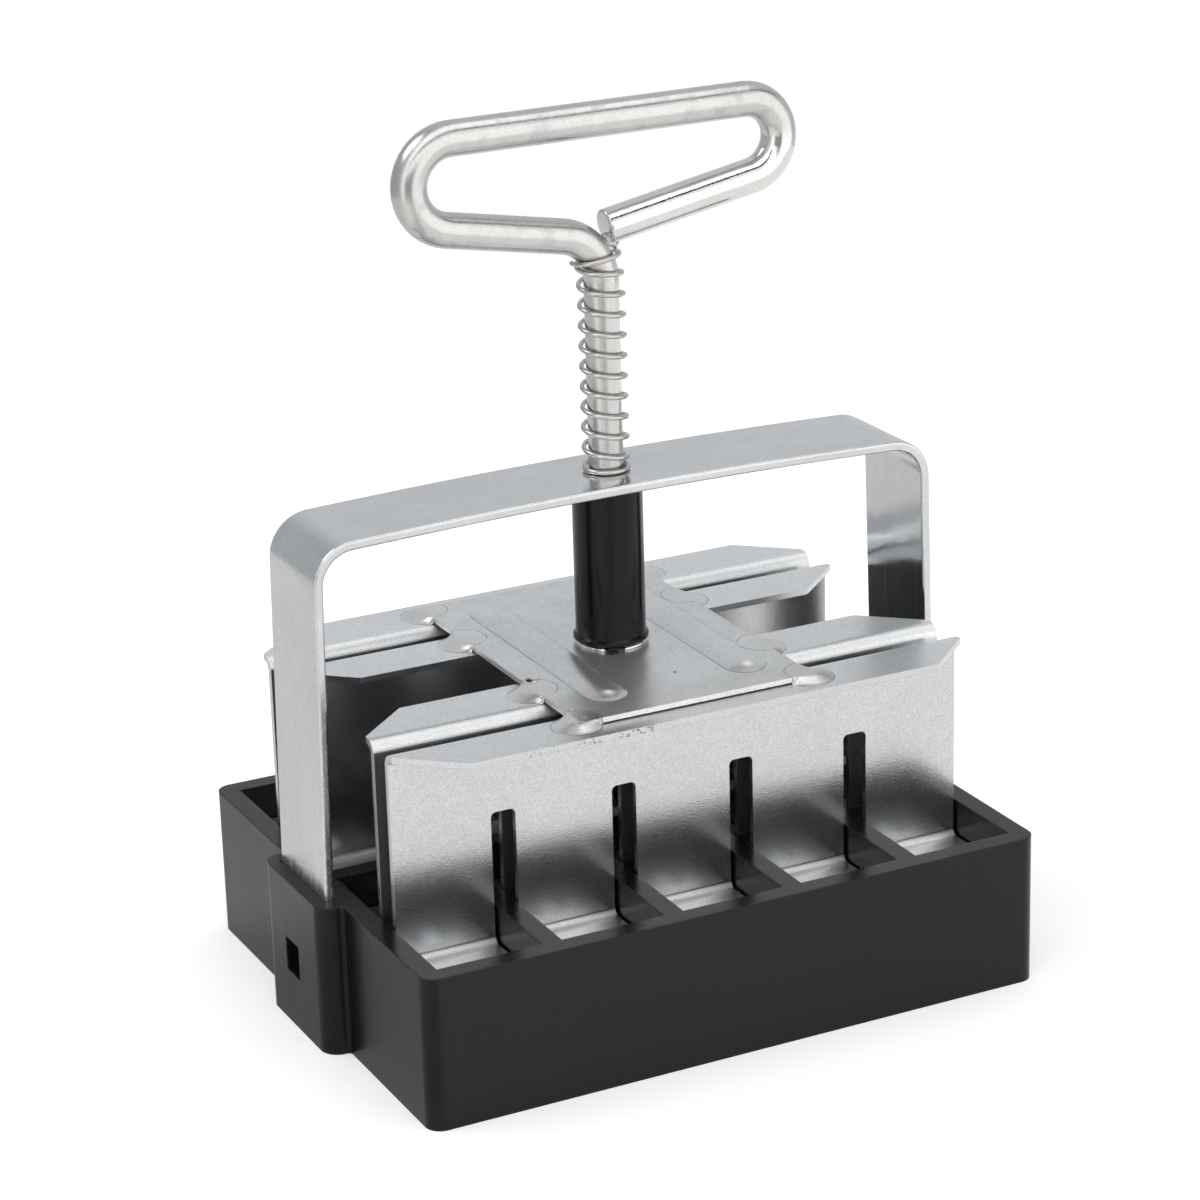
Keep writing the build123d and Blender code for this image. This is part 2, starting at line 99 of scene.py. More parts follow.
class Graph:
    """Node tree that is filled with one call per node."""

    def __init__(self, tree):
        self.tree = tree
        tree.nodes.clear()
        self.place = None
        # Share of a painted highlight, which zinc() takes off the metal.
        self.painted_highlight = 0.0

    def add(self, kind, inputs=None, **settings):
        node = self.tree.nodes.new(kind)
        for name, value in settings.items():
            setattr(node, name, value)
        for name, value in (inputs or {}).items():
            self.feed(node.inputs[name], value)
        return node

    def feed(self, socket, value):
        if isinstance(value, bpy.types.NodeSocket):
            self.tree.links.new(value, socket)
        else:
            socket.default_value = value

    def coords(self):
        """Position on the object in metres."""
        if self.place is None:
            self.place = self.add("ShaderNodeTexCoord").outputs["Object"]
        return self.place

    def calc(self, operation, first, second=0.0, third=0.0):
        inputs = {0: first, 1: second, 2: third}
        return self.add("ShaderNodeMath", inputs, operation=operation).outputs[0]

    def vector(self, operation, first, second):
        """A vector, or the one number that DISTANCE gives."""
        slot = 3 if operation == "SCALE" else 1
        node = self.add("ShaderNodeVectorMath", {0: first, slot: second}, operation=operation)
        return node.outputs[1 if operation == "DISTANCE" else 0]

    def axes(self, vector):
        return self.add("ShaderNodeSeparateXYZ", {0: vector}).outputs

    def stretched(self, factors):
        return self.vector("MULTIPLY", self.coords(), factors)

    def noise(self, scale, detail=3.0, rough=0.5, vector=None, twist=0.0):
        inputs = {
            "Vector": vector or self.coords(),
            "Scale": scale,
            "Detail": detail,
            "Roughness": rough,
            "Distortion": twist,
        }
        return self.add("ShaderNodeTexNoise", inputs).outputs[0]

    def spread(self, value, low, high, to_low=0.0, to_high=1.0, smooth=True):
        """value's range low..high mapped to to_low..to_high, held at the ends."""
        kind = "SMOOTHSTEP" if smooth else "LINEAR"
        inputs = {0: value, 1: low, 2: high, 3: to_low, 4: to_high}
        return self.add("ShaderNodeMapRange", inputs, interpolation_type=kind).outputs[0]

    def window(self, value, low, high, soft):
        """One inside low..high and zero outside, with soft edges."""
        rising = self.spread(value, low - soft, low + soft)
        falling = self.spread(value, high - soft, high + soft, 1.0, 0.0)
        return self.calc("MULTIPLY", rising, falling)

    def mix(self, factor, first, second):
        inputs = {0: factor, 6: first, 7: second}
        return self.add("ShaderNodeMix", inputs, data_type="RGBA").outputs[2]

    def bump(self, height, strength, distance, normal=None):
        inputs = {"Height": height, "Strength": strength, "Distance": distance}
        if normal is not None:
            inputs["Normal"] = normal
        return self.add("ShaderNodeBump", inputs).outputs[0]

    def toward(self, value, target, factor):
        """value moved to target by a factor of 0..1."""
        step = self.calc("MULTIPLY", factor, self.calc("SUBTRACT", target, value))
        return self.calc("ADD", value, step)

    def dimmed(self, value, factor, depth):
        """value lowered by the share depth where factor is one."""
        kept = self.calc("SUBTRACT", 1.0, self.calc("MULTIPLY", factor, depth))
        return self.calc("MULTIPLY", value, kept)

    def face_normal(self):
        return self.add("ShaderNodeNewGeometry").outputs["Normal"]

    def bevel(self, radius, samples=4):
        return self.add("ShaderNodeBevel", {"Radius": radius}, samples=samples).outputs[0]

    def surface(self, shader):
        self.add("ShaderNodeOutputMaterial", {"Surface": shader})

    def principled(self, colour, roughness, normal, **more):
        """Finish the material with one Principled shader."""
        inputs = {"Base Color": colour, "Roughness": roughness, "Normal": normal, **more}
        self.surface(self.add("ShaderNodeBsdfPrincipled", inputs).outputs[0])


def grey(value, warm=0.0):
    """Near-neutral colour, warmer for a positive second number."""
    return (value * (1 + warm), value, value * (1 - warm), 1.0)


def new_material(name):
    material = bpy.data.materials.new(name)
    material.use_nodes = True
    return material, Graph(material.node_tree)


def zinc(
    name,
    tone,
    rough,
    metal=1.0,
    grain=2900.0,
    patchy=0.04,
    wave=1.0,
    sparkle=1.0,
    scratch=None,
    bevel=0.0,
    marks=None,
):
    """Zinc-plated steel: faint patches, fine crystal grain, slight waves, optional scratches."""
    material, g = new_material(name)
    light, dark = tone
    smooth_rough, dull_rough = rough
    broad = g.noise(55.0, 3.0, 0.55, twist=0.5)
    patch = g.noise(330.0, 3.0, 0.6)
    crystal = g.noise(grain, 1.0, 0.5)
    mottle = g.calc("ADD", g.calc("MULTIPLY", broad, 0.6), g.calc("MULTIPLY", patch, 0.4))
    colour = g.mix(g.spread(mottle, 0.36, 0.64), dark, light)
    fleck = g.spread(crystal, 0.3, 0.7, 1 - patchy, 1 + patchy)
    colour = g.vector("SCALE", colour, fleck)
    roughness = g.spread(mottle, 0.35, 0.65, dull_rough, smooth_rough)
    normal = g.bevel(bevel) if bevel else g.face_normal()
    normal = g.bump(broad, 1.0, 0.2 * wave * MM, normal)
    normal = g.bump(crystal, 0.6, 0.05 * sparkle * MM, normal)
    if scratch:
        lines = g.noise(1.0, 3.0, 0.7, vector=g.stretched(scratch))
        normal = g.bump(lines, 0.5, 0.02 * MM, normal)
        roughness = g.calc("ADD", roughness, g.spread(lines, 0.4, 0.7, -0.02, 0.06))
        colour = g.vector("SCALE", colour, g.spread(lines, 0.3, 0.7, 0.97, 1.03))
    if marks:
        colour, roughness, normal = marks(g, colour, roughness, normal)
    # The metal is turned down where a highlight is painted.
    bare = g.calc("MULTIPLY", g.calc("SUBTRACT", 1.0, g.painted_highlight), metal)
    g.principled(colour, roughness, normal, Metallic=bare)
    return material


# ---- marks on the metal, placed on the object in metres ------------------------------------
RING_R = (4.48 * MM, 4.62 * MM)
DENT_R = (3.3 * MM, 4.6 * MM)
PIT_CORE = 0.25 * MM
PITS = (
    ((2.33 * MM, -20.82 * MM, PLATE_TOP), 0.45 * MM),
    ((-15.37 * MM, -10.25 * MM, PLATE_TOP), 0.5 * MM),
)
# A highlight is painted at each bead's crowned end, placed by the next constant.
BEAD_NOSE = (-BEAD_END - 1.2 * MM, PLATE_TOP + 0.7 * MM)  # y and z of a bead's crowned end
SCRIBED_X = (-5.2, 9.6, 11.0)  # millimetres
FRONT_EDGE_Y = (-38.7 * MM, -38.95 * MM)
RUST_X = (-34 * MM, -10 * MM)
RUST_Z = (0.05, 0.06)
RUST = (0.09, 0.06, 0.04, 1.0)
LEFT_LEG_X = (-0.0605, -0.0595)
FALLING_BAR_Z = (0.1485, 0.153)


def near(g, point, inner, outer):
    """One round a point of the object, fading to zero between two distances."""
    return g.spread(g.vector("DISTANCE", g.coords(), point), inner, outer, 1.0, 0.0)


def weld_marks(g, colour, roughness, normal):
    """Thin rings that the welding tips left round each spot weld, broken here and there."""
    flat = g.vector("ABSOLUTE", g.stretched((1.0, 1.0, 0.0)), (0, 0, 0))
    rings = 0.0
    dents = 0.0
    for y in SPOT_Y[2:]:
        reach = g.vector("DISTANCE", flat, (PLATE_HALF_L, y, 0))
        rings = g.calc("MAXIMUM", rings, g.window(reach, *RING_R, 0.06 * MM))
        dents = g.calc("MAXIMUM", dents, g.window(reach, *DENT_R, 0.25 * MM))
    z = g.axes(g.coords())[2]
    on_top = g.spread(z, FLANGE_TOP - 0.6 * MM, FLANGE_TOP - 0.3 * MM)
    broken = g.spread(g.noise(300.0, 2.0), 0.36, 0.5)
    rings = g.calc("MULTIPLY", g.calc("MULTIPLY", rings, broken), on_top)
    dents = g.calc("MULTIPLY", dents, on_top)
    colour = g.mix(g.calc("MULTIPLY", rings, 0.85), colour, grey(0.1, 0.05))
    normal = g.bump(dents, 0.5, 0.05 * MM, normal)
    return colour, roughness, normal


def plate_marks(g, colour, roughness, normal):
    """Sheared edge, painted shade under the plate, weld rings, painted crease shade round the
    beads, a painted highlight at each bead's end, dark pits and fine scribed lines.
    """
    facing = g.axes(g.face_normal())[2]
    # Painted shade: faces that look down (the plate's underside and the lower break of its edge)
    # are painted near black, a dark contact line over the flanges.
    colour = g.mix(g.spread(facing, -0.5, -0.2, 0.9, 0.0), colour, grey(0.02))
    sheared = g.spread(g.calc("ABSOLUTE", facing), 0.25, 0.6, SHEAR_TILT, 0.0)
    normal = g.vector("ADD", normal, g.vector("SCALE", (0, 0, 1), sheared))
    normal = g.vector("NORMALIZE", normal, (0, 0, 0))
    colour, roughness, normal = weld_marks(g, colour, roughness, normal)
    pits = 0.0
    for at, outer in PITS:
        pits = g.calc("MAXIMUM", pits, near(g, at, PIT_CORE, outer))
    colour = g.mix(pits, colour, grey(0.02))
    x, y, z = g.axes(g.coords())
    on_top = g.spread(z, PLATE_TOP - 0.3 * MM, PLATE_TOP - 0.1 * MM)
    held = g.calc("MINIMUM", g.calc("MAXIMUM", y, -BEAD_END), BEAD_END)
    off_end = g.calc("SUBTRACT", y, held)
    painted_crease_shade = 0.0
    painted_highlight = 0.0
    for middle in BEAD_X:
        off_line = g.calc("SUBTRACT", x, middle)
        square = g.calc("MULTIPLY", off_line, off_line)
        square = g.calc("ADD", square, g.calc("MULTIPLY", off_end, off_end))
        reach = g.calc("POWER", square, 0.5)
        # Painted crease shade: a thin dark line where each bead's slope meets the flat plate,
        # broken by noise.
        line = g.window(reach, BEAD_HALF_W - 0.12 * MM, BEAD_HALF_W, 0.06 * MM)
        painted_crease_shade = g.calc("MAXIMUM", painted_crease_shade, line)
        # Painted highlight: a pale, less metallic spot at each bead's crowned end stands in for
        # the highlight there.
        shine = near(g, (middle, *BEAD_NOSE), 0.1 * MM, 1.7 * MM)
        painted_highlight = g.calc("MAXIMUM", painted_highlight, shine)
    g.painted_highlight = g.calc("MULTIPLY", painted_highlight, 0.8)
    colour = g.mix(g.painted_highlight, colour, grey(0.88))
    seen = g.spread(g.noise(140.0, 2.0), 0.35, 0.55, 0.5, 0.9)
    painted_crease_shade = g.calc("MULTIPLY", g.calc("MULTIPLY", painted_crease_shade, seen), on_top)
    colour = g.mix(painted_crease_shade, colour, grey(0.08))
    sway = g.calc("MULTIPLY", g.calc("SUBTRACT", g.noise(90.0, 2.0), 0.5), 1.2 * MM)
    lane = g.calc("ADD", x, sway)
    scribed = 0.0
    for at in SCRIBED_X:
        line = g.window(lane, (at - 0.03) * MM, (at + 0.03) * MM, 0.05 * MM)
        scribed = g.calc("MAXIMUM", scribed, line)
    worn = g.spread(g.noise(120.0, 2.0), 0.5, 0.6)
    scribed = g.calc("MULTIPLY", scribed, worn)
    colour = g.mix(g.calc("MULTIPLY", scribed, 0.45), colour, grey(0.2))
    return colour, roughness, g.bump(scribed, 0.6, -0.03 * MM, normal)


def sheet_marks(g, colour, roughness, normal):
    """Weld rings, rusty specks along the front flange's edge and beside its welds, and painted
    light: bends and level tops are painted paler.
    """
    colour, roughness, normal = weld_marks(g, colour, roughness, normal)
    x, y, z = g.axes(g.coords())
    edge = g.calc("MULTIPLY", g.spread(y, *FRONT_EDGE_Y), g.spread(z, *RUST_Z))
    reach = g.window(x, *RUST_X, 5 * MM)
    speck = g.spread(g.noise(1300.0, 3.0, 0.7), 0.55, 0.63)
    rust = g.calc("MULTIPLY", g.calc("MULTIPLY", edge, reach), speck)
    colour = g.mix(g.calc("MULTIPLY", rust, 0.85), colour, RUST)
    tilt = g.calc("ABSOLUTE", g.axes(g.face_normal())[2])
    bent = g.window(tilt, 0.22, 0.95, 0.08)
    roughness = g.calc("MULTIPLY_ADD", rust, 0.3, roughness)
    roughness = g.calc("MULTIPLY_ADD", bent, 0.28, roughness)
    level = g.spread(tilt, 0.93, 0.99)
    roughness = g.calc("MULTIPLY_ADD", level, 0.09, roughness)
    # Painted light: the bends get a painted highlight and the level tops are painted lighter,
    # besides their extra roughness.
    painted_light = g.calc("ADD", g.calc("MULTIPLY", bent, 0.28), g.calc("MULTIPLY", level, 0.2))
    return g.vector("SCALE", colour, g.calc("ADD", painted_light, 1.0)), roughness, normal


def weld_soot(g, colour, roughness, normal):
    """Weld rings, and the burnt pinhole at the front inner weld on the left."""
    colour, roughness, normal = weld_marks(g, colour, roughness, normal)
    hole = near(g, BURNT_AT, 0.6 * MM, 0.9 * MM)
    halo = near(g, BURNT_AT, 0.8 * MM, 2.2 * MM)
    halo = g.calc("MULTIPLY", halo, g.spread(g.noise(1500.0, 3.0, 0.7), 0.5, 0.62))
    soot = g.calc("MAXIMUM", hole, g.calc("MULTIPLY", halo, 0.5))
    off_rod = g.vector("DISTANCE", g.stretched((1.0, 1.0, 0.0)), (0, 0, 0))
    pressed = g.spread(off_rod, 9 * MM, 10 * MM, 0.0, 0.13)
    return g.mix(soot, colour, grey(0.03)), g.calc("ADD", roughness, pressed), normal


def strap_marks(g, colour, roughness, normal):
    """Crazed rubbing on the left leg's outer face, heaviest just above the boss."""
    x, _, z = g.axes(g.coords())
    outer = g.spread(x, *LEFT_LEG_X, 1.0, 0.0)
    low = g.spread(z, 0.034, 0.042, 1.0, 0.3)
    crazed = g.noise(1.0, 3.0, 0.7, vector=g.stretched((900.0, 2300.0, 700.0)), twist=1.5)
    crazed = g.calc("MULTIPLY", g.spread(crazed, 0.5, 0.62), g.calc("MULTIPLY", outer, low))
    colour = g.vector("SCALE", colour, g.calc("MULTIPLY_ADD", crazed, 0.14, 0.97))
    roughness = g.calc("ADD", roughness, g.calc("MULTIPLY", outer, 0.1))
    return colour, g.calc("MULTIPLY_ADD", crazed, 0.14, roughness), normal


def bar_marks(g, colour, roughness, normal):
    """The falling bar of the loop is bright drawn, the rest is duller and handled."""
    x, _, z = g.axes(g.coords())
    height = g.calc("SUBTRACT", z, g.calc("MULTIPLY", x, 0.1))
    under = g.spread(height, *FALLING_BAR_Z, 1.0, 0.0)
    right = g.spread(x, 0.0, 0.002)
    drawn = g.calc("MULTIPLY", under, right)
    rubbed = g.spread(g.noise(240.0, 4.0, 0.65), 0.56, 0.68)
    rubbed = g.calc("MULTIPLY", rubbed, g.spread(drawn, 0.0, 1.0, 1.0, 0.2))
    colour = g.vector("SCALE", colour, g.spread(drawn, 0.0, 1.0, 0.86, 1.04))
    colour = g.mix(g.calc("MULTIPLY", rubbed, 0.3), colour, grey(0.36))
    roughness = g.calc("MULTIPLY", roughness, g.spread(drawn, 0.0, 1.0, 1.0, 0.28))
    roughness = g.calc("ADD", roughness, g.calc("MULTIPLY", rubbed, 0.08))
    return colour, roughness, normal


def moulded_black():
    """Black moulded plastic: satin skin, upright draw marks, rubbed edges and a little dust."""
    material, g = new_material("matte_plastic")
    skin = g.noise(1500.0, 3.0, 0.6)
    cloud = g.noise(60.0, 4.0, 0.6)
    drawn = g.noise(1.0, 3.0, 0.6, vector=g.stretched((420.0, 420.0, 22.0)))
    soft = g.bevel(0.5 * MM)
    meet = g.add("ShaderNodeVectorMath", {0: soft, 1: g.face_normal()}, operation="DOT_PRODUCT")
    meet = meet.outputs[1]
    edge = g.spread(meet, 0.8, 0.99, 1.0, 0.0)
    nicks = g.calc("MULTIPLY", edge, g.spread(g.noise(900.0, 3.0, 0.7), 0.5, 0.62))
    colour = g.mix(cloud, (0.0036, 0.004, 0.0062, 1.0), (0.006, 0.0064, 0.009, 1.0))
    colour = g.mix(g.calc("MULTIPLY", nicks, 0.5), colour, grey(0.045, 0.02))
    dust = g.add("ShaderNodeTexVoronoi", {"Vector": g.coords(), "Scale": 75.0}).outputs[0]
    dust = g.spread(dust, 0.009, 0.014, 1.0, 0.0)
    colour = g.mix(dust, colour, grey(0.3))
    rough = g.spread(drawn, 0.3, 0.7, 0.24, 0.28)
    rough = g.calc("ADD", rough, g.calc("MULTIPLY", nicks, 0.15))
    normal = g.bump(skin, 0.3, 0.02 * MM, soft)
    normal = g.bump(drawn, 0.12, 0.03 * MM, normal)
    normal = g.bump(nicks, 0.6, -0.08 * MM, normal)
    g.principled(colour, rough, normal, IOR=1.36)
    return material


def sleeve_black():
    """Semi-gloss black tube with faint upright streaks."""
    material, g = new_material("gloss_plastic")
    flow = g.noise(1.0, 2.0, 0.6, vector=g.stretched((700.0, 700.0, 40.0)))
    cloud = g.noise(160.0, 2.0, 0.6)
    rough = g.spread(flow, 0.3, 0.7, 0.15, 0.2)
    normal = g.bump(flow, 0.4, 0.03 * MM)
    normal = g.bump(cloud, 0.5, 0.03 * MM, normal)
    colour = g.mix(cloud, grey(0.004), grey(0.006))
    g.principled(colour, rough, normal, IOR=1.31)
    return material


# ---- mesh helpers --------------------------------------------------------------------------
def new_piece(name, vertices, faces, body, material, replaced, at=(0, 0, 0)):
    """Smooth-shaded mesh object that rides on a body and may stand for one CAD node."""
    mesh = bpy.data.meshes.new(name)
    mesh.from_pydata(vertices, [], faces)
    mesh.shade_smooth()
    piece = bpy.data.objects.new(name, mesh)
    piece.location = at
    bpy.context.scene.collection.objects.link(piece)
    mesh.materials.append(material)
    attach(piece, body)
    if replaced:
        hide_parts(replaced)
    return piece


def tube(points, tangents, radius, sides):
    """Vertices and faces of a round wire along points, closed at both ends."""
    vertices = []
    faces = []
    for point, tangent in zip(points, tangents):
        side = tangent.cross(Vector((0, 0, 1))).normalized()
        rise = side.cross(tangent).normalized()
        for k in range(sides):
            turn = 2 * math.pi * k / sides
            vertices.append(point + radius * (math.cos(turn) * side + math.sin(turn) * rise))
    for ring in range(len(points) - 1):
        for k in range(sides):
            low = ring * sides
            after = (k + 1) % sides
            faces.append((low + k, low + after, low + sides + after, low + sides + k))
    last = (len(points) - 1) * sides
    faces.append(tuple(reversed(range(sides))))
    faces.append(tuple(range(last, last + sides)))
    return vertices, faces


# ---- spring --------------------------------------------------------------------------------
def spring_rise(turns):
    start = min(max(turns - END_TURN, 0), END_BLEND) ** 2 / (2 * END_BLEND)
    middle = max(turns - END_TURN - END_BLEND, 0)
    top = max(turns - SPRING_TURNS + TOP_BLEND, 0) ** 2 / (2 * TOP_BLEND)
    return start + middle - top


def spring_pitch():
    seat = BEND_R - BAR_R - SPRING_TOP_GAP - WIRE_D / 2
    inward = BEND_R - SPRING_R - TOP_SHIFT
    end_z = BEND_FOOT + math.sqrt(seat**2 - inward**2)
    return (end_z + TOP_LEAN - SPRING_BASE) / spring_rise(SPRING_TURNS)


def spring_point(turns, pitch):
    angle = SPRING_START - 2 * math.pi * turns
    fade = math.exp((turns - SPRING_TURNS) / TOP_FADE)
    return Vector(
        (
            SPRING_R * math.cos(angle) - TOP_SHIFT * fade,
            SPRING_R * math.sin(angle),
            SPRING_BASE + pitch * spring_rise(turns) + TOP_LEAN * fade * math.cos(angle),
        )
    )


def make_spring(material):
    pitch = spring_pitch()
    count = round(SPRING_TURNS * SPRING_STEPS)
    turns = [SPRING_TURNS * k / count for k in range(count + 1)]
    points = [spring_point(t, pitch) for t in turns]
    ahead = [spring_point(t + 1e-4, pitch) - spring_point(t - 1e-4, pitch) for t in turns]
    tangents = [step.normalized() for step in ahead]
    points = [points[0] - WIRE_D * tangents[0]] + points + [points[-1] + WIRE_D * tangents[-1]]
    tangents = [tangents[0]] + tangents + [tangents[-1]]
    vertices, faces = tube(points, tangents, WIRE_D / 2, WIRE_SIDES)
    spring = new_piece(
        "spring_coil", vertices, faces, "frame", material, "spring"
    )
    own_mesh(spring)


# ---- welds ---------------------------------------------------------------------------------
BLEND = 2.6 * MM  # reach of the weld's slope beside the plate's end


def smooth(value):
    """Smooth step of a value held to 0..1."""
    value = min(max(value, 0.0), 1.0)
    return value * value * (3 - 2 * value)


def shell(columns, rows, points):
    """Closed skin over a grid of (x, y, top, bottom) points."""
    top = [Vector((x, y, high)) for x, y, high, _ in points]
    bottom = [Vector((x, y, low)) for x, y, _, low in points]
    count = len(top)
    faces = []
    for i in range(columns - 1):
        for k in range(rows - 1):
            a = i * rows + k
            b = a + rows
            faces.append((a, b, b + 1, a + 1))
            faces.append((count + a, count + a + 1, count + b + 1, count + b))
    rim = list(range(rows))
    rim += [i * rows + rows - 1 for i in range(1, columns)]
    rim += [(columns - 1) * rows + k for k in range(rows - 2, -1, -1)]
    rim += [i * rows for i in range(columns - 2, 0, -1)]
    for a, b in zip(rim, rim[1:] + rim[:1]):
        faces.append((a, b, count + b, count + a))
    return top + bottom, faces


def between(low, edge, high, dense, sparse):
    """Values from low to high, closer together over the blend just above the edge."""
    values = [low, high] + [edge + BLEND * k / dense for k in range(dense + 1)]
    marks = sorted(v for v in values if low <= v <= high)
    filled = []
    for a, b in zip(marks, marks[1:]):
        steps = max(1, math.ceil((b - a) / sparse))
        filled += [a + (b - a) * k / steps for k in range(steps)]
    return filled + [marks[-1]]


def spot_weld(side, y, seed):
    """Thin skin of weld that lies on plate and flange and blends over the plate's edge."""
    across = between(-0.985 * SPOT_R, 0.0, 0.985 * SPOT_R, 16, 0.3 * MM)
    outward = math.copysign(1, y)
    edge_dy = PLATE_HALF_W - abs(y)
    rows = 54
    points = []
    for dx in across:
        chord = math.sqrt(SPOT_R**2 - dx**2)
        for k in range(rows):
            dy = -chord + 2 * chord * k / (rows - 1)
            off_plate = math.hypot(max(dx, 0.0), max(outward * dy - edge_dy, 0.0))
            to_rim = max(SPOT_R - math.hypot(dx, dy), 0.0)
            melt = smooth(2 * to_rim / SPOT_R)
            at = Vector((dx, dy, seed)) / (1.6 * MM)
            rough = 0.025 * melt * noise.noise(at)
            slope = smooth(off_plate / (off_plate + 0.95 * to_rim + 0.02 * MM))
            high = PLATE_T * (1 - slope) + (0.08 * melt + rough - 0.012) * MM
            low = (0.0 if off_plate else PLATE_T) - 0.06 * MM
            points.append(
                (side * (PLATE_HALF_L + dx), y + dy, FLANGE_TOP + high, FLANGE_TOP + low)
            )
    return shell(len(across), rows, points)


def lump(at, size, seed, rings=10, around=14):
    """Small uneven ball."""
    vertices = []
    for i in range(1, rings):
        down = math.pi * i / rings
        for k in range(around):
            turn = 2 * math.pi * k / around
            way = Vector(
                (math.sin(down) * math.cos(turn), math.sin(down) * math.sin(turn), math.cos(down))
            )
            grow = 1 + 0.22 * noise.noise(1.7 * way + Vector((seed, 0, 0)))
            vertices.append(Vector(at) + grow * Vector([w * s for w, s in zip(way, size)]))
    faces = []
    for i in range(rings - 2):
        for k in range(around):
            after = (k + 1) % around
            low = i * around
            faces.append((low + k, low + around + k, low + around + after, low + after))
    faces.append(tuple(range(around)))
    last = (rings - 2) * around
    faces.append(tuple(reversed(range(last, last + around))))
    return vertices, faces


def joined(meshes):
    """One list of vertices and one of faces from several."""
    vertices = []
    faces = []
    for some, their in meshes:
        start = len(vertices)
        vertices += some
        faces += [tuple(start + i for i in face) for face in their]
    return vertices, faces


# beads of spatter on each row's welds in millimetres: x, y, height over the flanges, radius
SPATTER = (
    (
        (-22.9, -34.0, 0.95, 0.5),
        (-20.1, -34.2, 0.9, 0.42),
        (-19.7, -34.5, 0.5, 0.3),
        (-21.9, -27.9, 1.2, 0.36),
        (-23.3, -28.6, 1.0, 0.3),
        (19.9, -34.3, 0.9, 0.34),
        (20.3, -34.9, 0.3, 0.4),
    ),
    (
        (-23.6, -18.9, 1.0, 0.3),
        (-23.3, -19.5, 0.9, 0.24),
        (-20.3, -11.3, 1.2, 0.34),
        (23.5, -11.3, 0.9, 0.34),
        (23.4, -18.6, 0.9, 0.28),
    ),
    ((-23.5, 11.2, 0.9, 0.36), (-23.5, 18.7, 0.9, 0.3), (23.5, 18.4, 0.9, 0.34)),
    ((-23.5, 28.9, 0.9, 0.34), (-20.2, 34.3, 0.6, 0.4), (20.1, 34.4, 0.6, 0.36)),
)
CRATER_R = 0.95 * MM
CRATER_GRAINS = 9


def make_spot_welds(material):
    for row, y in enumerate(SPOT_Y):
        parts = [spot_weld(side, y, 7 * row + side) for side in (-1, 1)]
        for k, (x, at_y, rise, radius) in enumerate(SPATTER[row]):
            size = (radius * MM, radius * 0.9 * MM, radius * 0.75 * MM)
            parts.append(lump((x * MM, at_y * MM, FLANGE_TOP + rise * MM), size, row + 3 * k))
        if row == 1:
            for k in range(CRATER_GRAINS):
                turn = 2 * math.pi * k / CRATER_GRAINS
                at = (
                    BURNT_AT[0] + CRATER_R * math.cos(turn),
                    BURNT_AT[1] + CRATER_R * math.sin(turn),
                    PLATE_TOP + 0.05 * MM,
                )
                grain = (0.2 + 0.1 * (k % 3)) * MM
                parts.append(lump(at, (grain, grain, 0.8 * grain), k))
        vertices, faces = joined(parts)
        new_piece(
            f"spot_weld_row_{row + 1}",
            vertices,
            faces,
            "press",
            material,
            f"spot_welds_{row + 1}",
        )


def make_handle_weld(material):
    """Smooth fill in the notch between the loop's cut end and the bend."""
    low, high = (Vector(corner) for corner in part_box("handle_weld"))
    middle = (low + high) / 2
    size = (0.62 * (high.x - low.x), 0.6 * (high.y - low.y), 0.56 * (high.z - low.z))
    parts = [
        lump((0, 0, 0), size, 2.0, 20, 28),
        lump((-0.5 * MM, -1.3 * MM, -0.9 * MM), (0.9 * MM, 0.8 * MM, 0.8 * MM), 5.0, 14, 18),
    ]
    vertices, faces = joined(parts)
    new_piece(
        "handle_weld_bead",
        vertices,
        faces,
        "press",
        material,
        "handle_weld",
        at=middle,
    )


GAP_MIDDLE = math.radians(-110)
GAP_HALF = math.radians(13)


def make_rod_weld(material):
    """Uneven bead round the rod, with a gap in it at the front."""
    vertices = []
    faces = []
    around = 260
    # share of the bead's width, share of its height
    profile = [
        (1.0, -0.03),
        (1.03, 0.15),
        (1.035, 0.4),
        (1.0, 0.7),
        (0.93, 0.92),
        (0.82, 0.995),
        (0.5, 0.99),
        (0.0, 0.98),
        (0.0, -0.03),
    ]
    for i in range(around):
        angle = 2 * math.pi * i / around
        beat = noise.noise(Vector((3 * math.cos(angle), 3 * math.sin(angle), 0.0)))
        fine = noise.noise(Vector((13 * math.cos(angle), 13 * math.sin(angle), 4.0)))
        off = abs((angle - GAP_MIDDLE + math.pi) % (2 * math.pi) - math.pi)
        gap = 1 - smooth((off - GAP_HALF) / math.radians(5))
        edge = WELD_EDGE * (0.965 + 0.025 * beat + 0.012 * fine - 0.1 * gap)
        height = WELD_H * (0.93 + 0.04 * beat + 0.03 * fine - 0.55 * gap)
        for reach, rise in profile:
            radius = WELD_BORE + (edge - WELD_BORE) * reach
            vertices.append(
                Vector((radius * math.cos(angle), radius * math.sin(angle), height * rise))
            )
    rows = len(profile)
    for i in range(around):
        after = (i + 1) % around
        for k in range(rows):
            up = (k + 1) % rows
            faces.append((i * rows + k, after * rows + k, after * rows + up, i * rows + up))
    new_piece(
        "rod_weld_bead",
        vertices,
        faces,
        "press",
        material,
        "rod_weld",
        at=(0, 0, PLATE_TOP),
    )


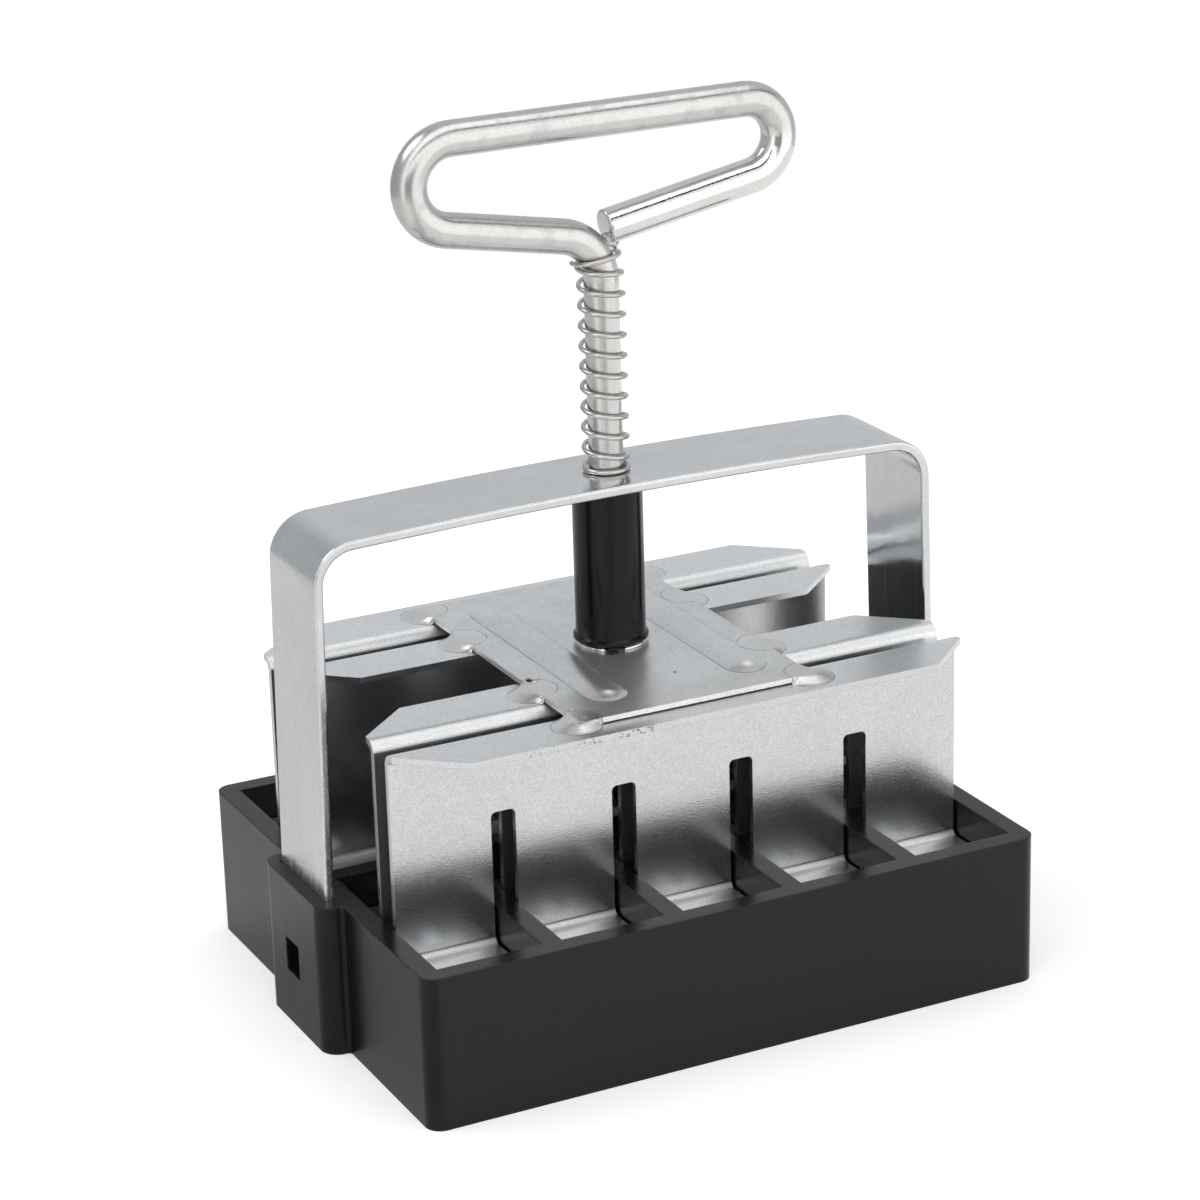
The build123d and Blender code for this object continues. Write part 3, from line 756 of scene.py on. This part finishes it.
def make_drip(material):
    """Plastic of the sleeve's foot that melted down into the gap of the weld."""
    out = 6.5 * MM
    at = Vector((out * math.cos(GAP_MIDDLE), out * math.sin(GAP_MIDDLE), 0.62 * MM))
    parts = [
        lump(at, (1.9 * MM, 0.9 * MM, 0.42 * MM), 1.0, 14, 20),
        lump(at + Vector((-0.7 * MM, -0.6 * MM, -0.35 * MM)), (0.9 * MM, 0.7 * MM, 0.4 * MM), 4.0),
    ]
    vertices, faces = joined(parts)
    new_piece("sleeve_drip", vertices, faces, "press", material, None, (0, 0, PLATE_TOP))


# ---- materials on the CAD nodes ------------------------------------------------------------
def dress(names, material):
    for name in names:
        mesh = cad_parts[name].data
        mesh.materials.clear()
        mesh.materials.append(material)


ROWS = (1, 2, 3, 4)
BLUISH = -0.022
sheet = zinc(
    "zinc_sheet",
    (grey(0.64, BLUISH), grey(0.61, BLUISH)),
    (0.19, 0.22),
    metal=0.955,
    grain=3800.0,
    patchy=0.1,
    wave=0.12,
    sparkle=0.45,
    bevel=0.12 * MM,
    marks=sheet_marks,
)
plate = zinc(
    "zinc_plate",
    (grey(0.7, -0.01), grey(0.63, -0.01)),
    (0.28, 0.36),
    metal=0.86,
    patchy=0.1,
    bevel=0.12 * MM,
    marks=plate_marks,
)
strap = zinc(
    "zinc_strap",
    (grey(0.69, BLUISH), grey(0.64, BLUISH)),
    (0.1, 0.15),
    metal=0.975,
    sparkle=0.4,
    scratch=(40.0, 2600.0, 40.0),
    bevel=0.2 * MM,
    marks=strap_marks,
)
bar = zinc(
    "zinc_bar",
    (grey(0.69, -0.005), grey(0.64, -0.005)),
    (0.22, 0.27),
    sparkle=0.4,
    marks=bar_marks,
)
wire = zinc("spring_wire", (grey(0.55, 0.03), grey(0.47, 0.03)), (0.18, 0.26), sparkle=0.3)
weld = zinc(
    "weld_metal",
    (grey(0.74), grey(0.66)),
    (0.14, 0.24),
    sparkle=0.5,
    marks=weld_soot,
)
burnt_weld = zinc("burnt_weld", (grey(0.5, -0.01), grey(0.34, -0.01)), (0.3, 0.42))
sleeve = sleeve_black()
dress(["mould"], moulded_black())
dress(["stop_sleeve"], sleeve)
dress(["strap"], strap)
dress(["press_handle"], bar)
dress(["carrier_plate"], plate)
dress([f"ejector_{row}" for row in ROWS], sheet)
dress([f"spot_welds_{row}" for row in ROWS] + ["rod_weld"], weld)
dress(["handle_weld"], burnt_weld)
dress(["spring"], wire)
make_spring(wire)
make_rod_weld(weld)
make_drip(sleeve)
make_spot_welds(weld)
make_handle_weld(burnt_weld)


# ---- studio --------------------------------------------------------------------------------
TABLE_R = 0.5
PAPER = 0.8
WARM = (1.015, 1.0, 0.975)
# Floor tones: painted shade towards the back, and a painted shadow beside the mould.
PAINTED_SHADE_FAR = 0.7
GLOW = 0.28
CAMERA_GLOW = 0.42
PAINTED_SHADOW_BESIDE = 0.6
SEAM_SLOPE = 0.457
SEAM_ALONG = (-0.98, -0.69)
SEAM_DEPTH = 0.93
PANEL_ALONG = (-0.68, 0.02)
PANEL_ACROSS = (-1.6, 0.6)
BACK = 0.7
BACK_LEFT = 0.5
FRONT_LOW = 1.5
FRONT_HIGH = 1.05
OVERHEAD = 1.7
VIEWER_WAY = (-0.444, -0.896)  # level direction of the dark sector at the camera's side
VIEWER_DEPTH = 0.75
KEY_AT = (-0.9, 0.5, 1.3)
KEY_AIM = (0, 0, 0.05)
KEY_SIZE = (0.9, 0.9)
KEY_POWER = 6.0


def make_floor():
    """Pale round table with the object's soft shadow: white to the camera; to other rays it
    carries painted shade, darker towards the back and a painted shadow beside the mould's left
    side.
    """
    around = 96
    mesh = bpy.data.meshes.new("floor")
    turns = [2 * math.pi * k / around for k in range(around)]
    rim = [(TABLE_R * math.cos(t), TABLE_R * math.sin(t), 0) for t in turns]
    mesh.from_pydata(rim, [], [tuple(range(around))])
    floor = bpy.data.objects.new("floor", mesh)
    floor.location.z = -0.05 * MM
    bpy.context.scene.collection.objects.link(floor)
    material, g = new_material("floor")
    path = g.add("ShaderNodeLightPath").outputs
    seen = g.calc("MAXIMUM", path["Is Camera Ray"], path["Is Glossy Ray"])
    seen = g.calc("MAXIMUM", seen, path["Is Transmission Ray"])
    x, y, _ = g.axes(g.coords())
    # Painted shade, seen only in reflections and bounced light: the floor darker towards the back.
    aside = g.calc("SUBTRACT", y, g.calc("MULTIPLY", x, 0.5))
    tone = g.spread(aside, -0.04, 0.2, 1.0, PAINTED_SHADE_FAR)
    # Painted shadow on the floor beside the mould's left side.
    beside = g.window(x, -0.12, -0.06, 0.012)
    beside = g.calc("MULTIPLY", beside, g.spread(y, 0.02, 0.06, 1.0, 0.0))
    tone = g.calc("MULTIPLY", tone, g.calc("MULTIPLY_ADD", beside, PAINTED_SHADOW_BESIDE - 1.0, 1.0))
    tone = g.mix(path["Is Camera Ray"], g.vector("SCALE", WARM, tone), grey(1.0))
    shade = g.vector("SCALE", tone, PAPER)
    paper = g.add("ShaderNodeBsdfDiffuse", {"Color": shade}).outputs[0]
    strength = g.spread(path["Is Camera Ray"], 0.0, 1.0, GLOW, CAMERA_GLOW)
    glow = g.add("ShaderNodeEmission", {"Color": shade, "Strength": strength}).outputs[0]
    lit = g.add("ShaderNodeAddShader", {0: paper, 1: glow}).outputs[0]
    g.surface(g.add("ShaderNodeMixShader", {0: seen, 1: paper, 2: lit}).outputs[0])
    mesh.materials.append(material)


def make_world():
    """White to camera and transmission rays. To all others, reflections too, a soft studio:

    overhead panel, bright front wall with a dark seam above it, greyer back.
    """
    world = bpy.data.worlds.new("studio")
    world.use_nodes = True
    bpy.context.scene.world = world
    g = Graph(world.node_tree)
    ray = g.add("ShaderNodeTexCoord").outputs["Generated"]
    x, y, z = g.axes(ray)
    height = g.calc("MAXIMUM", z, 0.05)
    across = g.calc("DIVIDE", x, height)
    along = g.calc("DIVIDE", y, height)
    skew = g.calc("SUBTRACT", along, g.calc("MULTIPLY", across, SEAM_SLOPE))
    level_out = g.calc("SUBTRACT", 1.0, g.calc("MULTIPLY", z, z))
    level_out = g.calc("MAXIMUM", g.calc("POWER", level_out, 0.5), 0.05)
    toward_left_back = g.calc("ADD", g.calc("MULTIPLY", x, -0.7), g.calc("MULTIPLY", y, 0.7))
    toward_left_back = g.calc("DIVIDE", toward_left_back, level_out)
    level = g.spread(toward_left_back, 0.5, 0.9, BACK, BACK_LEFT)
    front = g.spread(y, -0.45, -0.2, 1.0, 0.0)
    wall = g.spread(z, 0.45, 0.72, FRONT_LOW, FRONT_HIGH)
    level = g.toward(level, wall, front)
    up = g.spread(z, 0.3, 0.4)
    seam = g.calc("MULTIPLY", g.window(skew, *SEAM_ALONG, 0.02), up)
    level = g.dimmed(level, seam, SEAM_DEPTH)
    panel = g.window(skew, *PANEL_ALONG, 0.03)
    panel = g.calc("MULTIPLY", panel, g.window(across, *PANEL_ACROSS, 0.08))
    level = g.toward(level, OVERHEAD, g.calc("MULTIPLY", panel, up))
    viewer_x, viewer_y = VIEWER_WAY
    viewer = g.calc("ADD", g.calc("MULTIPLY", x, viewer_x), g.calc("MULTIPLY", y, viewer_y))
    viewer = g.spread(g.calc("DIVIDE", viewer, level_out), 0.86, 0.97)
    viewer = g.calc("MULTIPLY", viewer, g.spread(z, 0.05, 0.2, 1.0, 0.0))
    level = g.dimmed(level, viewer, VIEWER_DEPTH)
    path = g.add("ShaderNodeLightPath").outputs
    seen = g.calc("MAXIMUM", path["Is Camera Ray"], path["Is Transmission Ray"])
    tint = g.mix(g.spread(y, -0.3, 0.3), (1.02, 1.0, 0.97, 1.0), (0.97, 0.995, 1.02, 1.0))
    studio = g.vector("SCALE", tint, level)
    colour = g.mix(seen, studio, grey(1.0))
    shader = g.add("ShaderNodeBackground", {"Color": colour, "Strength": 1.0})
    g.add("ShaderNodeOutputWorld", {"Surface": shader.outputs[0]})


def make_light(name, at, aim, size, power):
    data = bpy.data.lights.new(name, "AREA")
    data.shape = "RECTANGLE"
    data.size, data.size_y = size
    data.energy = power
    lamp = bpy.data.objects.new(name, data)
    lamp.location = at
    lamp.rotation_euler = (Vector(aim) - Vector(at)).to_track_quat("-Z", "Y").to_euler()
    bpy.context.scene.collection.objects.link(lamp)


def make_camera():
    """Camera at the photograph's place, square frame, no shift."""
    back = Vector(
        (
            math.sin(CAMERA_AZIMUTH) * math.cos(CAMERA_ELEVATION),
            -math.cos(CAMERA_AZIMUTH) * math.cos(CAMERA_ELEVATION),
            math.sin(CAMERA_ELEVATION),
        )
    )
    level = Vector((math.cos(CAMERA_AZIMUTH), math.sin(CAMERA_AZIMUTH), 0))
    above = back.cross(level)
    right = math.cos(CAMERA_ROLL) * level + math.sin(CAMERA_ROLL) * above
    up = math.cos(CAMERA_ROLL) * above - math.sin(CAMERA_ROLL) * level
    data = bpy.data.cameras.new("camera")
    data.sensor_width = SENSOR
    data.lens = CAMERA_FOCAL / FRAME_PIXELS * SENSOR
    data.clip_start = 0.01
    camera = bpy.data.objects.new("camera", data)
    turned = Matrix((right, up, back)).transposed().to_4x4()
    camera.matrix_world = Matrix.Translation(CAMERA_AT) @ turned
    bpy.context.scene.collection.objects.link(camera)
    bpy.context.scene.camera = camera


make_floor()
make_world()
make_light("key", KEY_AT, KEY_AIM, KEY_SIZE, KEY_POWER)
make_camera()
bpy.context.scene.view_settings.view_transform = "Standard"
